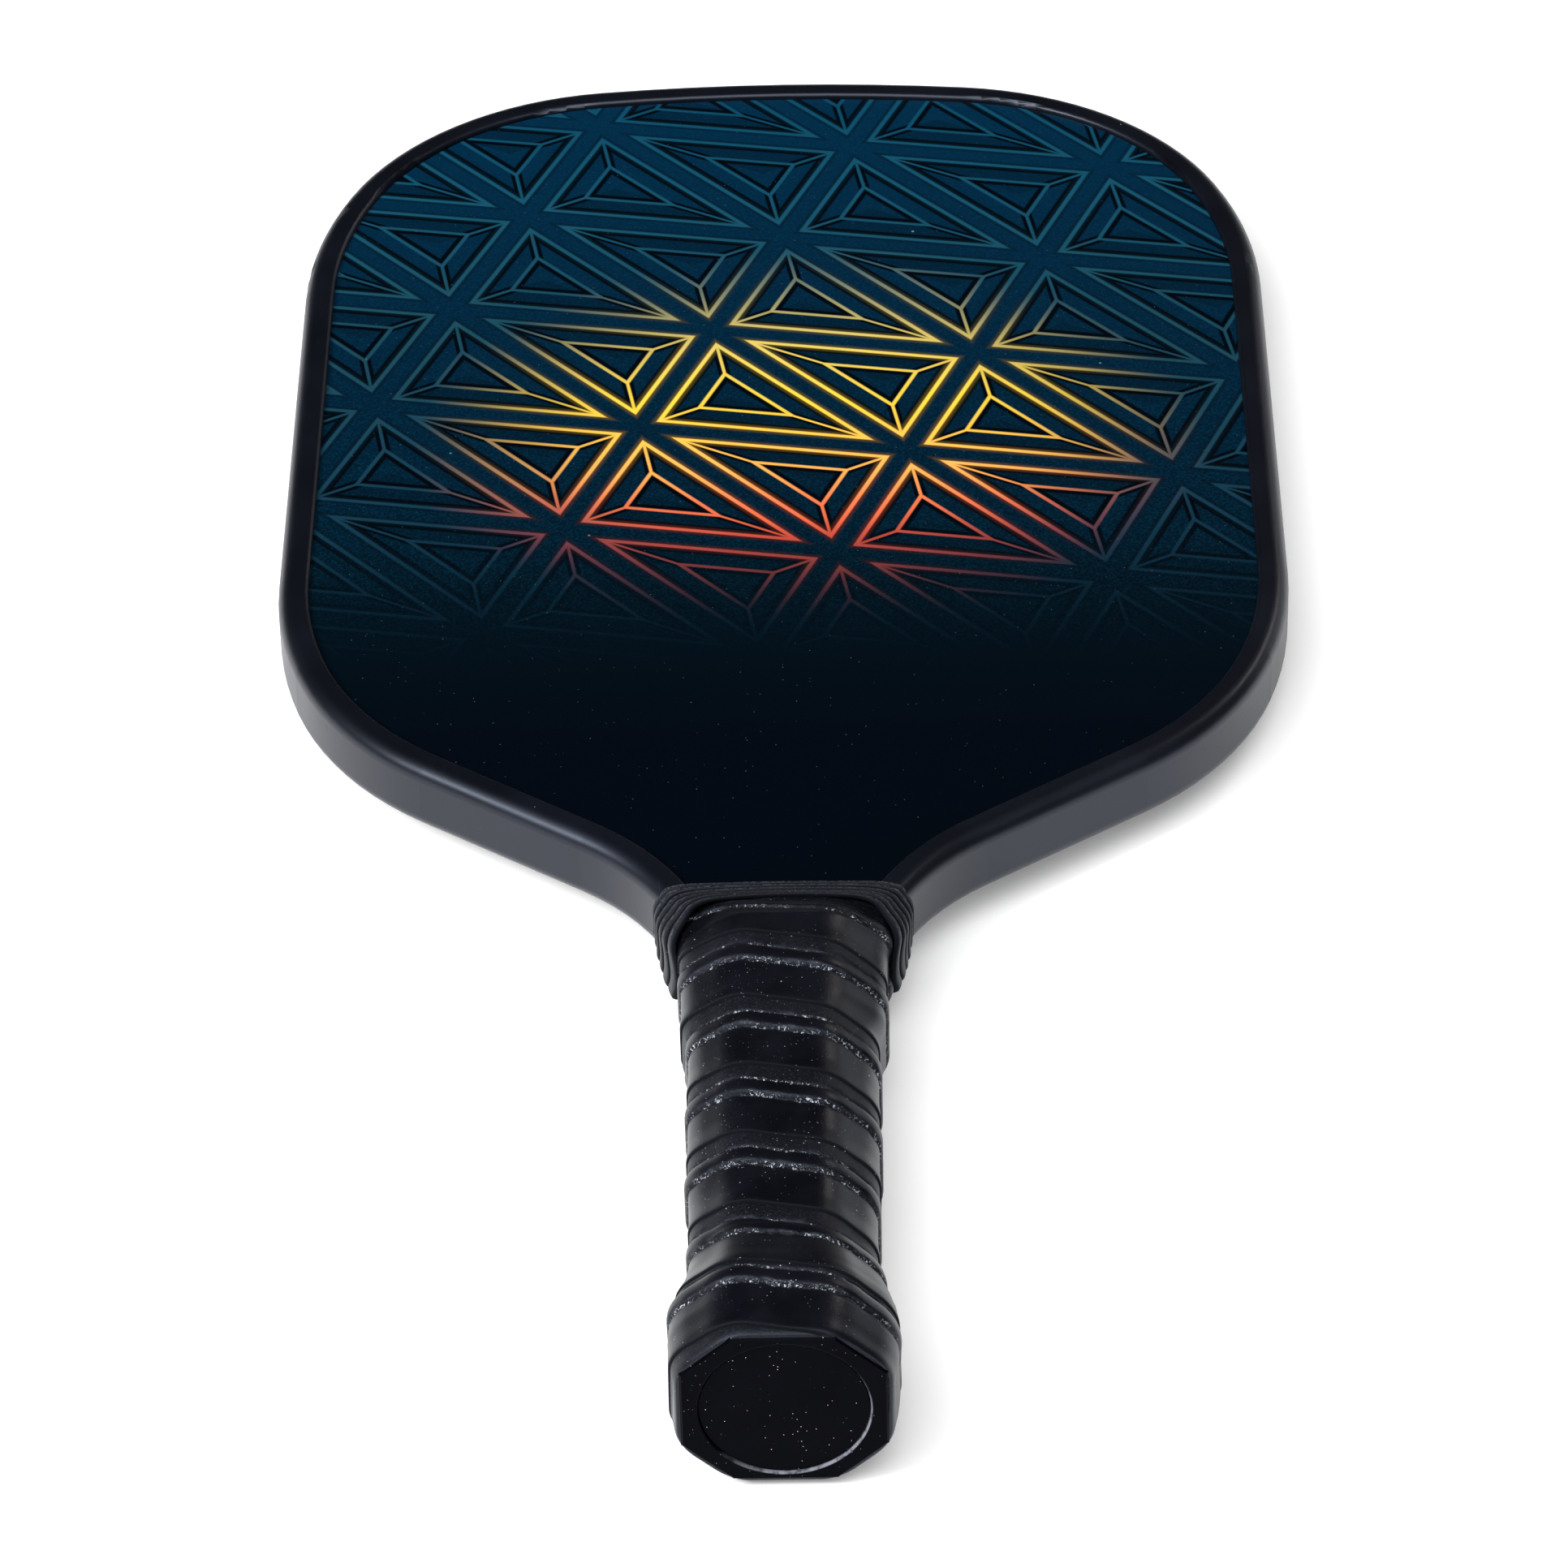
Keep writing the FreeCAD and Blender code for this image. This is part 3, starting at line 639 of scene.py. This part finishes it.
def finish_tape():
    s = Surface("tape_film", Roughness=0.5, Specular_IOR_Level=0.18)
    weave = s.noise(0.5, 3.0)
    fine = s.noise(0.16, 2.0, stretch=(0.3, 1.0, 1.0))
    across = s.attribute("across")
    crown_highlight = across.step(0.15, 0.45) * across.step(0.95, 0.6)
    gap_shade = (across.step(0.16, 0.02) + across.step(0.84, 0.98)).clamped()
    tone = s.mix(weave, (0.0040, 0.0045, 0.0065), (0.0100, 0.0110, 0.0145))
    # painted highlight: the weave on the rounded top of each strand is coloured lighter
    tone = s.mix(crown_highlight * weave.step(0.40, 0.66) * 0.6, tone, (0.085, 0.090, 0.105))
    # painted shade: the grooves between neighbouring turns are coloured near-black
    tone = s.mix(gap_shade * 0.9, tone, (0.0005, 0.0005, 0.0008))
    s.colour(s.mix(dust(s, 1.2, 0.14, 0.30), tone, (0.25, 0.26, 0.28)))
    s.roughness(0.42 + weave * 0.2 + gap_shade * 0.4)
    s.bump(weave * 0.6 + fine * 0.4, 0.05)
    return s.material


def finish_hidden(name, dark, light, grain, roughness):
    """Plain procedural finish for the pieces inside the paddle."""
    s = Surface(name, Roughness=roughness)
    mottle = s.noise(grain, 3.0)
    s.colour(s.mix(mottle, dark, light))
    s.roughness(roughness + (mottle - 0.5) * 0.2)
    s.bump(mottle, 0.02)
    return s.material


def finish_steel():
    s = Surface("staple_steel", Roughness=0.3, Metallic=1.0)
    brushed = s.noise(0.5, 3.0, stretch=(0.1, 1.0, 1.0))
    s.colour(s.mix(brushed, (0.42, 0.42, 0.44), (0.62, 0.62, 0.64)))
    s.roughness(0.25 + brushed * 0.2)
    s.bump(brushed, 0.004)
    return s.material


def dress(node_name, material):
    mesh = cad_nodes[node_name].data
    mesh.materials.clear()
    mesh.materials.append(material)


# ---------------------------------------------------------------- build
add_camera()

grip = make_grip()
grip.data.materials.append(finish_grip())
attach(grip, "root")
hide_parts("cushion_grip")

tape = make_tape()
tape.data.materials.append(finish_tape())
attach(tape, "root")
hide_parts("finishing_tape")

dress("front_face_sheet", finish_face())
dress("rear_face_sheet", finish_plain_face())
dress("edge_guard", finish_guard())
cap_finish = finish_cap()
dress("butt_cap", cap_finish)
dress("butt_badge", cap_finish)
dress("cap_staples", finish_steel())
dress("honeycomb_core", finish_hidden("core_plastic", (0.62, 0.60, 0.55), (0.74, 0.72, 0.66), 3.0, 0.6))
film = finish_hidden("bond_film", (0.42, 0.38, 0.29), (0.55, 0.50, 0.40), 4.0, 0.45)
dress("front_bond_film", film)
dress("rear_bond_film", film)
dress("guard_bond_strip", finish_hidden("strip_foam", (0.50, 0.48, 0.43), (0.62, 0.60, 0.54), 0.8, 0.8))
pallet = finish_hidden("pallet_foam", (0.50, 0.43, 0.32), (0.62, 0.55, 0.42), 1.2, 0.75)
dress("front_handle_pallet", pallet)
dress("rear_handle_pallet", pallet)


# ---------------------------------------------------------------- floor and light
FLOOR_AT_FLARE, FLOOR_AT_CROWN = (0.0, 12.0, -17.72), (0.0, 394.5, -6.86)   # mm, as place() takes them
FLOOR_HALF_SIZE = 6.0             # m


def add_floor():
    """Pale floor that touches the butt's flare and the far end of the head."""
    near, far = place(*FLOOR_AT_FLARE), place(*FLOOR_AT_CROWN)
    tilt = math.atan2(far.z - near.z, far.y - near.y)
    size = FLOOR_HALF_SIZE
    corners = [(-size, -size), (size, -size), (size, size), (-size, size)]
    mesh = bpy.data.meshes.new("floor")
    mesh.from_pydata([(x, y, 0.0) for x, y in corners], [], [(0, 1, 2, 3)])
    floor = bpy.data.objects.new("floor", mesh)
    bpy.context.scene.collection.objects.link(floor)
    floor.location = near
    floor.rotation_euler = (tilt, 0.0, 0.0)
    s = Surface("floor_paper", Roughness=0.9, Specular_IOR_Level=0.1)
    s.colour(s.mix(s.noise(400.0, 2.0), (0.90, 0.90, 0.90), (0.92, 0.92, 0.92)))
    s.shader.inputs["Emission Color"].default_value = (1.0, 1.0, 1.0, 1.0)
    s.shader.inputs["Emission Strength"].default_value = 0.22
    mesh.materials.append(s.material)


def add_softbox(name, position, aim, size, power, colour=(1.0, 1.0, 1.0)):
    """Rectangular lamp turned to face its aim; sizes in m, power in W."""
    data = bpy.data.lights.new(name, "AREA")
    data.shape, data.size, data.size_y = "RECTANGLE", size[0], size[1]
    data.energy, data.color = power, colour
    light = bpy.data.objects.new(name, data)
    bpy.context.scene.collection.objects.link(light)
    light.location = position
    light.rotation_mode = "QUATERNION"
    light.rotation_quaternion = (aim - position).to_track_quat("-Z", "Y")


add_floor()
butt, centre = place(0, 0, 0), place(0, 200.0, 0)
floor_at_left = centre + Vector((-0.50, -0.40, -0.02))
add_softbox("overhead", centre + Vector((-0.3, -1.1, 2.1)), centre, (2.6, 2.0), 84.0)
add_softbox("back_right", centre + Vector((1.25, 1.20, 0.40)), centre, (0.7, 0.35), 1.3)
add_softbox("left", centre + Vector((-0.95, -0.55, 0.85)), floor_at_left, (0.5, 0.5), 19.0)
add_softbox("glint", butt + Vector((0.75, 1.14, 0.82)), butt, (0.20, 0.20), 1.8, (1.0, 0.86, 0.76))

world = bpy.data.worlds.new("studio")
world.use_nodes = True
sky = world.node_tree.nodes["Background"].inputs
sky["Color"].default_value = (0.75, 0.85, 1.0, 1.0)
sky["Strength"].default_value = 0.03
bpy.context.scene.world = world
bpy.context.scene.view_settings.view_transform = "Standard"
